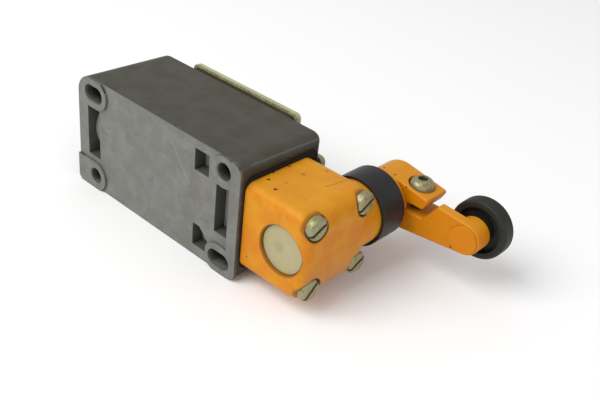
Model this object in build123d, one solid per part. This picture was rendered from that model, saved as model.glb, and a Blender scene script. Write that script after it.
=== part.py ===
"""Roller lever limit switch with a metal body, on the 30 x 60 mm fixing pattern.

Frame: origin at the centre of the fixing pattern, on the plane of the mounting pads.
+X runs along the body towards the head, +Y out of the mounting face towards the cover,
+Z across the body. The lever shaft lies along Y. Millimetres throughout.
"""
from build123d import *
import math
import os

# ---------------------------------------------------------------- driving dimensions
# Body and its fixing pattern
fixing_pitch_x = 60.0          # hole pitch along the body
fixing_pitch_z = 30.0          # hole pitch across the body
margin_entry_end = 9.1         # hole row to the cable entry end
margin_head_end = 6.9          # hole row to the head end
margin_side = 4.8              # hole row to each side
body_depth = 33.8              # mounting pads to the front rim
body_draft = 1.2               # degrees, outer walls lean in towards the front
corner_head_end = 5.0          # vertical corner radii
corner_entry_upper = 7.0
corner_entry_lower = 2.3
head_seat_milling = 0.2        # cast length at the front rim that is milled off for the head seat
fixing_hole_d = 5.5
fixing_slot_length = 9.0       # end to end
fixing_mouth_chamfer = 0.35
pad_relief = 0.8               # height of the mounting pads over the rear wall
pad_radius = 4.9
end_rim_width = 4.0            # raised rim at the head end
rear_pocket_depth = 5.0

# Hollow of the body
entry_wall = 17.5              # solid end that carries the cable entry thread
head_wall = 14.3               # solid end that carries the head
side_wall = 2.8
rear_wall = 3.2
ledge_height = 8.0             # floor over the rear pockets, and top of the block posts
ledge_length = 8.1
hollow_corner = 2.0

# Cable entry, M20 x 1.5
entry_bore_d = 18.6            # inside the thread crests
entry_boss_d = 24.2
entry_mouth_chamfer = 0.8

# Cover
gasket_thickness = 2.0
gasket_inset = 0.8
cover_thickness = 2.4
cover_seal_width = 1.7         # the wide part of the cover overlaps the hollow by this
cover_tongue_half = 9.5        # half width of the two end tongues
cover_end_inset = 1.0
cover_corner = 2.0
cover_edge = 0.8
cover_side_inset = 0.4
front_rim_edge = 0.8
front_rim_edge_head = 2.4
cover_screw_d = 4.0
cover_screw_inset_entry = 7.1  # screw axis to the body's end
cover_screw_inset_head = 6.4
cover_screw_depth = 4.8

# Head
head_side = 28.5               # square section, so that it can be fitted four ways round
head_centre_y = 15.85
head_length = 24.1
head_gasket_thickness = 0.6
head_gasket_half = 15.6        # the gasket shows beside and in front of the head
head_gasket_rear = 2.0
head_gasket_front = 31.4
head_gasket_corner = 2.5
head_corner = 6.0              # outer corners of the free end
head_rear_edge = 3.0
head_front_edge = 5.0
shaft_setback = 15.3           # shaft axis to the body's head end
head_cavity_r = 7.2
cap_recess_r = 7.6
cap_recess_depth = 1.0
cap_recess_edge = 0.4
cap_thickness = 1.4
cavity_end_y = 27.0
neck_r = 10.15
neck_end_y = 41.5
neck_root_r = 9.3              # where the neck runs out in the free end
neck_root_length = 7.0
neck_bore_r = 6.0
head_screw_pitch = 20.4
head_screw_pitch_y = 20.2
head_screw_d = 4.0
head_screw_head_d = 7.0
head_screw_head_height = 2.4
head_screw_seat = 2.2          # depth of the screw seats below the free end
head_screw_grip = 3.6          # thread in the body

# Shaft, cam and return springs
shaft_rear_r = 3.0
shaft_front_r = 4.0
shaft_end_y = 58.4
running_clearance = 0.04       # radial, on every turning or sliding fit
side_clearance = 0.2           # axial, beside every turning piece
cam_travel_deg = 75.0
tappet_stroke = 2.8
cam_base_r = 4.1
cam_width = 6.8
flange_width = 1.6
flange_clearance = 0.3         # flange rim to cavity wall
sleeve_hub_r = 3.9
spring_room = 3.9              # axial room for each torsion spring
spring_wire_d = 0.8
spring_mean_r = 4.85
spring_turns = 3.0
spring_leg_swell = 1.05         # the legs are upset a little at the bend
tongue_inner_r = 5.85
tongue_outer_r = 6.75
tongue_angle = 24.0
tongue_play_deg = 0.5
notch_margin_deg = 2.0
bearing_thickness = 2.4
driver_thickness = 2.0
driver_pin_d = 1.5

# Tappet and its guide
tappet_r = 3.0
tappet_tip_r = 0.8
cam_gap = 0.03                 # tip to cam
guide_outer_r = 5.0
guide_spigot = 2.4             # length of the guide that centres the head on the body
guide_setback = 0.6            # guide end to the cavity wall
tappet_foot_inset = 6.7        # tappet foot to the body's head end
push_gap = 0.05                # tappet foot to contact carrier

# Dust collar, front bearing and shaft seal
collar_outer_r = 11.2
collar_wall = 0.75
collar_start_y = 33.5
collar_end_y = 43.9
collar_web = 2.0
bush_length = 10.0
seal_length = 3.0

# Lever, along +X from the shaft
lever_length = 30.0            # shaft axis to roller axis
hub_r = 8.65
hub_start_y = 44.2
hub_end_y = 57.8
arm_end_r = 5.1
arm_thickness = 3.2
arm_rear_relief = 3.2
block_end = 16.0               # distances from the shaft axis, along the lever
jaw_tip_top = 16.3
jaw_tip_bottom = 14.5
jaw_tip_height = 5.9
slot_bottom = -0.7
slot_top = 2.2
slot_floor_end = 15.2
shoulder_start = 19.6
shoulder_height = 5.9
arm_edge = 0.6
jaw_corner_r = 0.9
slot_root_r = 2.0
end_boss_height = 2.9          # boss that carries the roller pin, in front of the arm
rear_disc_r = 4.5
rear_disc_height = 0.5
clamp_screw_x = 9.9
clamp_screw_d = 4.0
clamp_head_d = 7.6
clamp_head_height = 2.8
clamp_seat_height = 6.4
clamp_seat_r = 4.2
clamp_thread_floor = -6.3
socket_across_flats = 3.0

# Roller
roller_r = 9.5
roller_width = 5.1
roller_start_gap = 1.4         # end boss to roller rim
roller_edge = 0.9
roller_dish_outer_r = 7.4
roller_dish_inner_r = 4.3
roller_dish_depth = 2.2
roller_front_dish_depth = 1.0
roller_hub_proud = 0.8
roller_bush_r = 3.1
roller_pin_r = 2.0
roller_pin_head_r = 3.6
roller_pin_head_height = 1.0
washer_thickness = 0.5

# Contact block
block_end_gap_entry = 2.6
block_end_gap_head = 2.1
block_half = 14.4
block_core_half = 8.0
block_front_y = 21.8
block_cover_thickness = 1.2
wing_inset_entry = 3.8
wing_inset_head = 2.5
channel_half = 7.6
channel_end_wall = 2.5
carrier_half_y = 3.1
carrier_half_z = 3.0
carrier_nose_r = 2.4
window_half_y = 1.6
strip_thickness = 0.8
strip_half_y = 1.6
strip_inner_z = 4.6
strip_outer_z = 13.4
tip_r = 1.2
tip_height = 0.5
tip_z = 5.9
contact_touch_gap = 0.03
bridge_thickness = 0.6
bridge_half_z = 7.2
bridge_half_y = 1.5
closed_strip_inset = 11.1      # break contact strips, from the block's head end
open_strip_inset = 29.75       # make contact strips, from the block's head end
overtravel_gap = 0.05
terminal_z = 11.4
terminal_offset = 3.6
terminal_pad_length = 6.6
terminal_pad_width = 6.0
terminal_screw_d = 3.5
terminal_screw_head_d = 5.6
terminal_screw_length = 7.0
clamp_plate_side = 5.6
clamp_plate_thickness = 0.8
block_screw_d = 3.0
block_screw_inset = 20.0
return_spring_mean_r = 1.45
return_spring_wire_d = 0.5
return_spring_pocket = 6.1
return_spring_seat = 1.5
bridge_spring_mean_r = 0.95
bridge_spring_wire_d = 0.35
bridge_spring_length = 4.5
earth_screw_d = 3.5
earth_inset_x = 3.3
earth_z = 12.6
earth_boss_r = 3.0
earth_boss_top = 12.0

# ---------------------------------------------------------------- derived places
body_right = fixing_pitch_x / 2 + margin_head_end
body_left = -fixing_pitch_x / 2 - margin_entry_end
body_half = fixing_pitch_z / 2 + margin_side
cast_right = body_right + body_depth * math.tan(math.radians(body_draft)) + head_seat_milling
hollow_left = body_left + entry_wall
hollow_right = body_right - head_wall
hollow_half = body_half - side_wall
gasket_front = body_depth + gasket_thickness
cover_front = gasket_front + cover_thickness

shaft_x = body_right + shaft_setback
head_start = body_right + head_gasket_thickness
head_end = head_start + head_length
head_rear = head_centre_y - head_side / 2
head_front = head_centre_y + head_side / 2
cap_rear = head_rear + cap_recess_depth
cap_front = cap_rear + cap_thickness
screw_seat_x = head_end - head_screw_seat

bearing_front = cap_front + bearing_thickness
lobe_rear = head_centre_y - cam_width / 2
lobe_front = head_centre_y + cam_width / 2
rear_flange_rear = lobe_rear - flange_width
front_flange_front = lobe_front + flange_width
driver_front = cavity_end_y - side_clearance
driver_rear = driver_front - driver_thickness
flange_r = head_cavity_r - flange_clearance
shaft_rear_end = cap_front + side_clearance

tappet_rest_r = cam_base_r + cam_gap + tappet_tip_r
tappet_tip_x = shaft_x - tappet_rest_r + tappet_tip_r
tappet_foot_x = body_right - tappet_foot_inset
guide_end_x = shaft_x - head_cavity_r - guide_setback
guide_start_x = head_start - guide_spigot

arm_rear = hub_start_y + arm_rear_relief
arm_front = arm_rear + arm_thickness
boss_front = arm_front + end_boss_height
roller_x = shaft_x + lever_length
roller_rear = boss_front + roller_start_gap
roller_front = roller_rear + roller_width
roller_hub_rear = roller_rear - roller_hub_proud
clamp_x = shaft_x + clamp_screw_x
clamp_y = (arm_rear + hub_end_y) / 2

block_left = hollow_left + block_end_gap_entry
block_right = hollow_right - block_end_gap_head
channel_left = block_left + channel_end_wall
channel_right = block_right - channel_end_wall
wing_left = block_left + wing_inset_entry
wing_right = block_right - wing_inset_head
closed_strip_x = block_right - closed_strip_inset
open_strip_x = block_right - open_strip_inset
block_screw_x = block_right - block_screw_inset
carrier_left = channel_left + tappet_stroke + 1.2
carrier_nose_end = tappet_foot_x - push_gap
closed_bridge_front = closed_strip_x - tip_height - contact_touch_gap - tip_height
closed_bridge_rear = closed_bridge_front - bridge_thickness
open_tip_face = open_strip_x + strip_thickness + tip_height
open_bridge_rear = open_tip_face + tappet_stroke + overtravel_gap + tip_height
open_bridge_front = open_bridge_rear + bridge_thickness
earth_x = hollow_left + earth_inset_x


# ---------------------------------------------------------------- building aids
def box_between(x, y, z):
    """A box from three (low, high) pairs."""
    centre = ((x[0] + x[1]) / 2, (y[0] + y[1]) / 2, (z[0] + z[1]) / 2)
    return Pos(*centre) * Box(x[1] - x[0], y[1] - y[0], z[1] - z[0])


def rod_x(radius, x_from, x_to, y=0.0, z=0.0):
    return Pos((x_from + x_to) / 2, y, z) * Rot(0, 90, 0) * Cylinder(radius, abs(x_to - x_from))


def rod_y(radius, y_from, y_to, x=0.0, z=0.0):
    return Pos(x, (y_from + y_to) / 2, z) * Rot(90, 0, 0) * Cylinder(radius, abs(y_to - y_from))


def rod_z(radius, z_from, z_to, x=0.0, y=0.0):
    return Pos(x, y, (z_from + z_to) / 2) * Cylinder(radius, abs(z_to - z_from))


def prism_y(outline, y_from, y_to, x=0.0, z=0.0):
    """Extrude an outline, drawn in (X, Z), along +Y."""
    plane = Plane(origin=(x, y_from, z), x_dir=(1, 0, 0), z_dir=(0, -1, 0))
    return extrude(plane * outline, amount=y_to - y_from, dir=(0, 1, 0))


def polar(radius, degrees):
    return (radius * math.cos(math.radians(degrees)), radius * math.sin(math.radians(degrees)))


def sector(inner_r, outer_r, start_deg, end_deg):
    """Flat ring sector about the origin."""
    sweep_deg = end_deg - start_deg
    outer = CenterArc((0, 0), outer_r, start_deg, sweep_deg)
    inner = CenterArc((0, 0), inner_r, end_deg, -sweep_deg)
    sides = [Line(outer @ 1, inner @ 0), Line(inner @ 1, outer @ 0)]
    return make_face([outer, sides[0], inner, sides[1]])


def coil(mean_r, wire_d, length, turns):
    """Helical spring along +Z from the origin, ends at the wire's centre line."""
    path = Helix(pitch=length / turns, height=length, radius=mean_r)
    section = Plane(path @ 0, z_dir=path % 0) * Circle(wire_d / 2)
    return sweep(section, path=path)


def slotted_screw(shank_d, shank_length, head_d, head_height, slot_width, slot_depth):
    """Pan head screw along -Z, with its head seat at the origin."""
    shank = Pos(0, 0, -shank_length / 2) * Cylinder(shank_d / 2, shank_length)
    head = Pos(0, 0, head_height / 2) * Cylinder(head_d / 2, head_height)
    head = fillet(head.edges().group_by(Axis.Z)[-1], head_height * 0.4)
    slot = Pos(0, 0, head_height - slot_depth / 2) * Box(head_d * 2, slot_width, slot_depth)
    return shank + head - slot


def to_plus_y(shape, x, y, z, turn=0.0):
    """Stand a shape that was drawn along Z on the +Y direction."""
    return Pos(x, y, z) * Rot(-90, 0, 0) * Rot(0, 0, turn) * shape


# ---------------------------------------------------------------- body
fixing_x = fixing_pitch_x / 2
fixing_z = fixing_pitch_z / 2
round_holes = [(-fixing_x, -fixing_z), (fixing_x, fixing_z)]
slotted_holes = [(-fixing_x, fixing_z), (fixing_x, -fixing_z)]


def body_outline():
    """Mounting side outline, with the cast length still on the head end."""
    width = cast_right - body_left
    outline = Pos((cast_right + body_left) / 2, 0) * Rectangle(width, 2 * body_half)
    outline = fillet(outline.vertices().sort_by(Axis.X)[-2:], corner_head_end)
    outline = fillet(outline.vertices().sort_by(Axis.X)[:2].sort_by(Axis.Y)[-1:], corner_entry_upper)
    return fillet(outline.vertices().sort_by(Axis.X)[:2].sort_by(Axis.Y)[:1], corner_entry_lower)


def body_block():
    """Drafted casting with a milled head seat and a rounded front rim."""
    plane = Plane(origin=(0, 0, 0), x_dir=(1, 0, 0), z_dir=(0, -1, 0))
    block = extrude(plane * body_outline(), amount=body_depth, dir=(0, 1, 0), taper=body_draft)
    far = cast_right + 1
    block -= box_between((body_right, far), (-1, body_depth + 1), (-body_half - 1, body_half + 1))
    rim = block.edges().filter_by_position(Axis.Y, body_depth - 0.01, body_depth + 0.01)
    block = fillet(rim.sort_by(Axis.X)[-1:], front_rim_edge_head)
    rim = block.edges().filter_by_position(Axis.Y, body_depth - 0.01, body_depth + 0.01)
    return fillet(rim.sort_by(Axis.X)[:-1], front_rim_edge)


def pad_outlines():
    """Raised pads round the four fixing holes, joined to the body's outline."""
    slot_reach = (fixing_slot_length - fixing_hole_d) / 2
    upper_slot = Pos(-fixing_x, fixing_z) * SlotOverall(2 * (pad_radius + slot_reach - 0.3), 2 * pad_radius)
    lower_left = Pos(-fixing_x, -fixing_z) * Circle(pad_radius + 0.2)
    corner_width = margin_entry_end
    corner = Pos(body_left + corner_width / 2, -fixing_z) * Rectangle(corner_width, 2 * pad_radius + 0.4)
    upper_right = Pos(fixing_x, fixing_z) * Circle(pad_radius + 0.1)
    lower_slot = Pos(fixing_x, -fixing_z) * SlotOverall(2 * (pad_radius + slot_reach - 0.6), 2 * pad_radius)
    return upper_slot + lower_left + corner + upper_right + lower_slot


def rear_relief():
    """What is lower than the pads on the mounting side."""
    width = body_right - end_rim_width - body_left + 2
    middle = (body_right - end_rim_width + body_left - 2) / 2
    field = Pos(middle, 0) * Rectangle(width, 2 * body_half + 2)
    return prism_y(field - pad_outlines(), -1, pad_relief)


def rear_pockets():
    """Lightening pockets, open to the rear."""
    depth = (-1, rear_pocket_depth)
    entry_pocket = box_between((body_left + 4.9, body_left + 11.1), depth, (-8.1, 9.5))
    entry_pocket = entry_pocket - rod_x(entry_boss_d / 2, body_left, hollow_left, head_centre_y)
    head_pocket = box_between((body_right - 10.1, body_right - 4.0), depth, (-6.6, 9.5))
    upper_small = box_between((body_right - 19.5, body_right - 13.4), depth, (9.9, 17.0))
    lower_x = body_right - 19.2
    corner_cut = [(lower_x, -16.2), (lower_x + 6.6, -16.2), (lower_x + 6.6, -12.0),
                  (lower_x + 2.9, -8.5), (lower_x, -8.5)]
    lower_small = prism_y(make_face(Polyline(*corner_cut, close=True)), *depth)
    return [entry_pocket, head_pocket, upper_small, lower_small]


def fixing_cuts():
    """Two round holes and two slots, right through, chamfered at the pads."""
    cuts = []
    for x, z in round_holes:
        cuts.append(rod_y(fixing_hole_d / 2, -1, body_depth + 1, x, z))
        mouth = Cone(fixing_hole_d / 2, fixing_hole_d / 2 + fixing_mouth_chamfer, fixing_mouth_chamfer)
        cuts.append(Pos(x, fixing_mouth_chamfer / 2, z) * Rot(90, 0, 0) * mouth)
    for x, z in slotted_holes:
        cuts.append(prism_y(SlotOverall(fixing_slot_length, fixing_hole_d), -1, body_depth + 1, x, z))
    return cuts


def body_hollow():
    """Contact space, with a higher floor over the small rear pockets."""
    z = (-hollow_half, hollow_half)
    ledge_x = hollow_right - ledge_length
    room = box_between((hollow_left, hollow_right), (ledge_height, body_depth + 1), z)
    room = fillet(room.edges().filter_by(Axis.Y), hollow_corner)
    deep = box_between((hollow_left, ledge_x), (rear_wall, ledge_height + 1), z)
    deep = fillet(deep.edges().filter_by(Axis.Y).sort_by(Axis.X)[:2], hollow_corner)
    return room + deep


def block_posts():
    """Two posts under the contact block, and the boss of the earth screw."""
    posts = [rod_y(block_screw_d, rear_wall - 0.5, ledge_height, block_screw_x, z)
             for z in (-terminal_z, terminal_z)]
    posts.append(rod_y(earth_boss_r, rear_wall - 0.5, earth_boss_top, earth_x, earth_z))
    return posts


def block_screw_bores():
    return [rod_y(block_screw_d / 2, ledge_height - 4.0, ledge_height + 1, block_screw_x, z)
            for z in (-terminal_z, terminal_z)]


def cover_screw_places():
    return [(body_left + cover_screw_inset_entry, 0.0), (body_right - cover_screw_inset_head, 0.0)]


def head_screw_places():
    half_y = head_screw_pitch_y / 2
    half_z = head_screw_pitch / 2
    return [(head_centre_y + sy * half_y, sz * half_z) for sy in (-1, 1) for sz in (-1, 1)]


def housing():
    body = body_block() - rear_relief()
    for pocket in rear_pockets():
        body -= pocket
    body -= body_hollow()
    for post in block_posts():
        body += post
    for bore in block_screw_bores():
        body -= bore
    body -= rod_y(earth_screw_d / 2, earth_boss_top - 7.0, earth_boss_top + 1, earth_x, earth_z)
    entry = rod_x(entry_bore_d / 2, body_left - 1, hollow_left + 0.5, head_centre_y)
    mouth = Cone(entry_bore_d / 2 + entry_mouth_chamfer, entry_bore_d / 2, entry_mouth_chamfer)
    entry += Pos(body_left + entry_mouth_chamfer / 2, head_centre_y, 0) * Rot(0, 90, 0) * mouth
    body -= entry
    spigot_bore = guide_outer_r + running_clearance
    body -= rod_x(spigot_bore, hollow_right - 1, body_right + 1, head_centre_y)
    for cut in fixing_cuts():
        body -= cut
    for x, z in cover_screw_places():
        body -= rod_y(cover_screw_d / 2, body_depth - cover_screw_depth, body_depth + 1, x, z)
    for y, z in head_screw_places():
        body -= rod_x(head_screw_d / 2, body_right - head_screw_grip, body_right + 1, y, z)
    return body


# ---------------------------------------------------------------- cover
def cover_outline(inset):
    """Cross outline that leaves the four fixing holes free."""
    wide_left = hollow_left - cover_seal_width + inset
    wide_right = hollow_right + cover_seal_width - inset
    wide_half = body_half - cover_side_inset - inset
    wide = Pos((wide_left + wide_right) / 2, 0) * Rectangle(wide_right - wide_left, 2 * wide_half)
    tongue_left = body_left + cover_end_inset + inset
    tongue_right = body_right - cover_end_inset - inset
    tongue = Rectangle(tongue_right - tongue_left, 2 * (cover_tongue_half - inset))
    tongue = Pos((tongue_left + tongue_right) / 2, 0) * tongue
    outline = wide + tongue
    corners = outline.vertices()
    return fillet(corners, cover_corner - inset / 2)


def cover():
    plate = prism_y(cover_outline(0.0), gasket_front, cover_front)
    front_rim = plate.faces().sort_by(Axis.Y)[-1].edges()
    plate = fillet(front_rim, cover_edge)
    for x, z in cover_screw_places():
        plate -= rod_y(cover_screw_d / 2 + 0.25, gasket_front - 1, cover_front + 1, x, z)
    return plate


def cover_gasket():
    sheet = prism_y(cover_outline(gasket_inset), body_depth, gasket_front)
    opening = box_between((hollow_left, hollow_right), (body_depth - 1, gasket_front + 1),
                          (-hollow_half, hollow_half))
    sheet -= fillet(opening.edges().filter_by(Axis.Y), hollow_corner)
    for x, z in cover_screw_places():
        sheet -= rod_y(cover_screw_d / 2 + 0.25, body_depth - 1, gasket_front + 1, x, z)
    return sheet


def cover_screws():
    length = cover_front - body_depth + cover_screw_depth - 0.5
    screw = slotted_screw(cover_screw_d, length, 7.2, 2.2, 1.1, 1.1)
    turns = (35.0, 100.0)
    return [to_plus_y(screw, x, cover_front, z, turn)
            for (x, z), turn in zip(cover_screw_places(), turns)]


# ---------------------------------------------------------------- head
def head_form():
    """Square block with a round neck, before its bores."""
    half = head_side / 2
    block = box_between((head_start, head_end), (head_rear, head_front), (-half, half))
    block = fillet(block.edges().filter_by(Axis.Y).sort_by(Axis.X)[-2:], head_corner)
    rear_edges = block.faces().sort_by(Axis.Y)[0].edges().sort_by(Axis.X)[1:]
    block = fillet(rear_edges, head_rear_edge)
    front_edges = block.faces().sort_by(Axis.Y)[-1].edges().sort_by(Axis.X)[1:]
    block = fillet(front_edges, head_front_edge)
    neck = rod_y(neck_r, head_front - 1.0, neck_end_y, shaft_x)
    neck = chamfer(neck.edges().group_by(Axis.Y)[-1], 0.5)
    root = Cone(neck_root_r, neck_r, neck_root_length)
    root_y = head_front - 1.0 - neck_root_length / 2
    return block + neck + Pos(shaft_x, root_y, 0) * Rot(-90, 0, 0) * root


def key_slot(width, depth):
    """Lug or slot at the top of the cavity that keeps the rear bearing from turning."""
    top = head_cavity_r + depth
    return box_between((shaft_x - width / 2, shaft_x + width / 2), (cap_front, bearing_front),
                       (head_cavity_r - 1.0, top))


def head():
    form = head_form()
    form -= rod_y(head_cavity_r, head_rear - 1, cavity_end_y, shaft_x)
    form -= rod_y(cap_recess_r, head_rear - 1, cap_front, shaft_x)
    circles = form.edges().filter_by(GeomType.CIRCLE)
    mouth = circles.filter_by_position(Axis.Y, head_rear - 0.01, head_rear + 0.01)
    form = fillet(mouth, cap_recess_edge)
    form -= rod_y(neck_bore_r, cavity_end_y - 1, neck_end_y + 1, shaft_x)
    form -= key_slot(2.0, 0.9)
    form -= rod_x(guide_outer_r, head_start - 1, shaft_x - head_cavity_r + 1, head_centre_y)
    for y, z in head_screw_places():
        form -= rod_x(head_screw_d / 2 + 0.2, head_start - 1, head_end, y, z)
        form -= rod_x(head_screw_head_d / 2 + 0.35, screw_seat_x, head_end + 1, y, z)
    return form


def head_gasket():
    sheet = box_between((body_right, head_start), (head_gasket_rear, head_gasket_front),
                        (-head_gasket_half, head_gasket_half))
    sheet = fillet(sheet.edges().filter_by(Axis.X), head_gasket_corner)
    sheet -= rod_x(guide_outer_r, body_right - 1, head_start + 1, head_centre_y)
    for y, z in head_screw_places():
        sheet -= rod_x(head_screw_d / 2 + 0.2, body_right - 1, head_start + 1, y, z)
    return sheet


def head_screws():
    length = screw_seat_x - body_right + head_screw_grip - 0.3
    screw = slotted_screw(head_screw_d, length, head_screw_head_d, head_screw_head_height, 1.1, 1.2)
    turns = (132.0, 113.0, 116.0, 117.0)
    return [Pos(screw_seat_x, y, z) * Rot(0, 90, 0) * Rot(0, 0, turn) * screw
            for (y, z), turn in zip(head_screw_places(), turns)]


def rear_cap():
    """Pressed closing disc behind the shaft."""
    disc = rod_y(cap_recess_r - 0.02, cap_rear, cap_front, shaft_x)
    return chamfer(disc.edges().group_by(Axis.Y)[0], 0.25)


def stop_tongue(y_from, y_to, centre_deg):
    half = tongue_angle / 2
    outline = sector(tongue_inner_r, tongue_outer_r, centre_deg - half, centre_deg + half)
    return prism_y(outline, y_from, y_to, shaft_x)


def flange_notch(y_from, y_to, tongue_centre_deg):
    """Notch that lets its tongue turn through the lever's travel on one side only."""
    start = tongue_centre_deg - tongue_angle / 2 - cam_travel_deg - notch_margin_deg
    end = tongue_centre_deg + tongue_angle / 2 + tongue_play_deg
    outline = sector(tongue_inner_r - 0.15, flange_r + 1, start, end)
    return prism_y(outline, y_from, y_to, shaft_x)


rear_tongue_deg = 60.0
front_tongue_deg = -30.0
rear_leg_deg = 0.0
front_leg_deg = 180.0


def spring_leg_hole(y_from, y_to, degrees):
    x, z = polar(spring_mean_r, degrees)
    return rod_y(spring_wire_d / 2 + 0.1, y_from, y_to, shaft_x + x, z)


def rear_bearing():
    """Keyed plate that carries the shaft's rear end and stops the cam."""
    plate = rod_y(head_cavity_r - 0.02, cap_front, bearing_front, shaft_x)
    plate += stop_tongue(bearing_front - 0.5, rear_flange_rear + flange_width - 0.1, rear_tongue_deg)
    plate += key_slot(1.9, 0.85)
    plate -= rod_y(shaft_rear_r + running_clearance, cap_front - 1, bearing_front + 1, shaft_x)
    plate -= spring_leg_hole(bearing_front - 1.5, bearing_front + 1, rear_leg_deg)
    return plate


def front_bush():
    ring = rod_y(neck_bore_r - 0.01, cavity_end_y + 0.2, cavity_end_y + 0.2 + bush_length, shaft_x)
    return ring - rod_y(shaft_front_r + running_clearance, cavity_end_y - 1, neck_end_y, shaft_x)


def shaft_seal():
    start = cavity_end_y + bush_length + 0.6
    ring = rod_y(neck_bore_r - 0.01, start, start + seal_length, shaft_x)
    ring -= rod_y(shaft_front_r + running_clearance, start - 1, start + seal_length + 1, shaft_x)
    groove = rod_y(shaft_front_r + 1.4, start + 1.6, start + seal_length + 1, shaft_x)
    groove -= rod_y(shaft_front_r + 0.6, start, start + seal_length + 2, shaft_x)
    return ring - groove


def tappet_guide():
    bush = rod_x(guide_outer_r - 0.01, guide_start_x, guide_end_x, head_centre_y)
    return bush - rod_x(tappet_r + running_clearance, guide_start_x - 1, guide_end_x + 1, head_centre_y)


# ---------------------------------------------------------------- cam
def cam_point(body_deg):
    """Point of the lobe that the tappet's round tip rides on, linear rise with angle."""
    rise = tappet_stroke / math.radians(cam_travel_deg)
    angle = math.radians(body_deg)
    pitch_r = tappet_rest_r + rise * (math.pi - angle)
    tangent_x = -rise * math.cos(angle) - pitch_r * math.sin(angle)
    tangent_z = -rise * math.sin(angle) + pitch_r * math.cos(angle)
    length = math.hypot(tangent_x, tangent_z)
    offset = tappet_tip_r + cam_gap
    x = pitch_r * math.cos(angle) - offset * tangent_z / length
    z = pitch_r * math.sin(angle) + offset * tangent_x / length
    return (x, z)


def cam_outline():
    """Base circle, straight back flank, short dwell, then the working flank."""
    flank_start_deg = 40.0
    dwell_deg = 12.0
    samples = 12
    top_deg = 180.0 - cam_travel_deg
    working = [cam_point(top_deg + cam_travel_deg * i / samples) for i in range(samples + 1)]
    top_angle = math.degrees(math.atan2(working[0][1], working[0][0]))
    top_r = math.hypot(*working[0])
    base_point = polar(cam_base_r, 180.0)
    flank = Spline(*working)
    joint = Line(working[-1], base_point)
    base = CenterArc((0, 0), cam_base_r, 180.0, 180.0 + flank_start_deg)
    dwell_start = polar(top_r, top_angle - dwell_deg)
    back = Line(base @ 1, dwell_start)
    dwell = CenterArc((0, 0), top_r, top_angle - dwell_deg, dwell_deg)
    return make_face([flank, joint, base, back, dwell])


def cam_sleeve():
    """Lobe between two flanges, on a sleeve that turns freely on the shaft."""
    sleeve = rod_y(sleeve_hub_r, bearing_front + side_clearance, driver_rear - side_clearance, shaft_x)
    sleeve += prism_y(cam_outline(), lobe_rear, lobe_front, shaft_x)
    rear = rod_y(flange_r, rear_flange_rear, lobe_rear, shaft_x)
    rear -= flange_notch(rear_flange_rear - 1, lobe_rear + 0.001, rear_tongue_deg)
    front = rod_y(flange_r, lobe_front, front_flange_front, shaft_x)
    front -= flange_notch(lobe_front - 0.001, front_flange_front + 1, front_tongue_deg)
    sleeve = sleeve + rear + front
    sleeve -= rod_y(shaft_rear_r + running_clearance, cap_rear, cavity_end_y, shaft_x)
    sleeve -= spring_leg_hole(rear_flange_rear - 1, lobe_rear + 1, rear_leg_deg)
    return sleeve - spring_leg_hole(lobe_front - 1, front_flange_front + 1, front_leg_deg)


def torsion_spring(y_from, y_to, start_deg, rear_leg, front_leg):
    """Close coil about the shaft with one straight leg into the piece at each end."""
    wire_r = spring_wire_d / 2
    length = y_to - y_from - spring_wire_d
    wound = coil(spring_mean_r, spring_wire_d, length, spring_turns)
    leg_r = wire_r * spring_leg_swell
    first = rod_z(leg_r, -rear_leg, wire_r / 2, spring_mean_r, 0)
    end_x, end_y = polar(spring_mean_r, 360.0 * spring_turns)
    last = rod_z(leg_r, length - wire_r / 2, length + front_leg, end_x, end_y)
    whole = wound + first + last
    return Pos(shaft_x, y_from + wire_r, 0) * Rot(-90, 0, 0) * Rot(0, 0, -start_deg) * whole


def cam_spring():
    start = bearing_front + side_clearance + 0.05
    return torsion_spring(start, start + spring_room - 0.3, rear_leg_deg, 1.5, 1.3)


def centring_spring():
    start = front_flange_front + side_clearance
    return torsion_spring(start, start + spring_room - 0.3, front_leg_deg, 1.3, 1.3)


# ---------------------------------------------------------------- shaft group
def shaft():
    """Stepped shaft: thin through the cam, thick through the neck and the lever."""
    rear = rod_y(shaft_rear_r, shaft_rear_end, cavity_end_y, shaft_x)
    rear = chamfer(rear.edges().group_by(Axis.Y)[0], 0.3)
    front = rod_y(shaft_front_r, cavity_end_y, shaft_end_y, shaft_x)
    front = chamfer(front.edges().group_by(Axis.Y)[-1], 0.5)
    pin_y = (driver_rear + driver_front) / 2
    whole = rear + front
    return whole - rod_z(driver_pin_d / 2, -shaft_front_r, shaft_front_r, shaft_x, pin_y)


def driver():
    """Disc pinned to the shaft, whose tongue turns the cam one way only."""
    disc = rod_y(flange_r, driver_rear, driver_front, shaft_x)
    disc += stop_tongue(lobe_front + 0.1, driver_rear + 0.5, front_tongue_deg)
    disc -= rod_y(shaft_rear_r, driver_rear - 1, driver_front + 1, shaft_x)
    pin_y = (driver_rear + driver_front) / 2
    disc -= rod_z(driver_pin_d / 2, -head_cavity_r, head_cavity_r, shaft_x, pin_y)
    disc -= spring_leg_hole(driver_rear - 1, driver_front + 1, front_leg_deg)
    return disc


def driver_pin():
    reach = flange_r - 0.5
    return rod_z(driver_pin_d / 2, -reach, reach, shaft_x, (driver_rear + driver_front) / 2)


def dust_collar():
    """Cup over the neck, open to the rear."""
    cup = rod_y(collar_outer_r, collar_start_y, collar_end_y, shaft_x)
    cup = fillet(cup.edges().group_by(Axis.Y)[-1], 0.4)
    inner_end = collar_end_y - collar_web
    cup -= rod_y(collar_outer_r - collar_wall, collar_start_y - 1, inner_end, shaft_x)
    return cup - rod_y(shaft_front_r, inner_end - 1, collar_end_y + 1, shaft_x)


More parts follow.
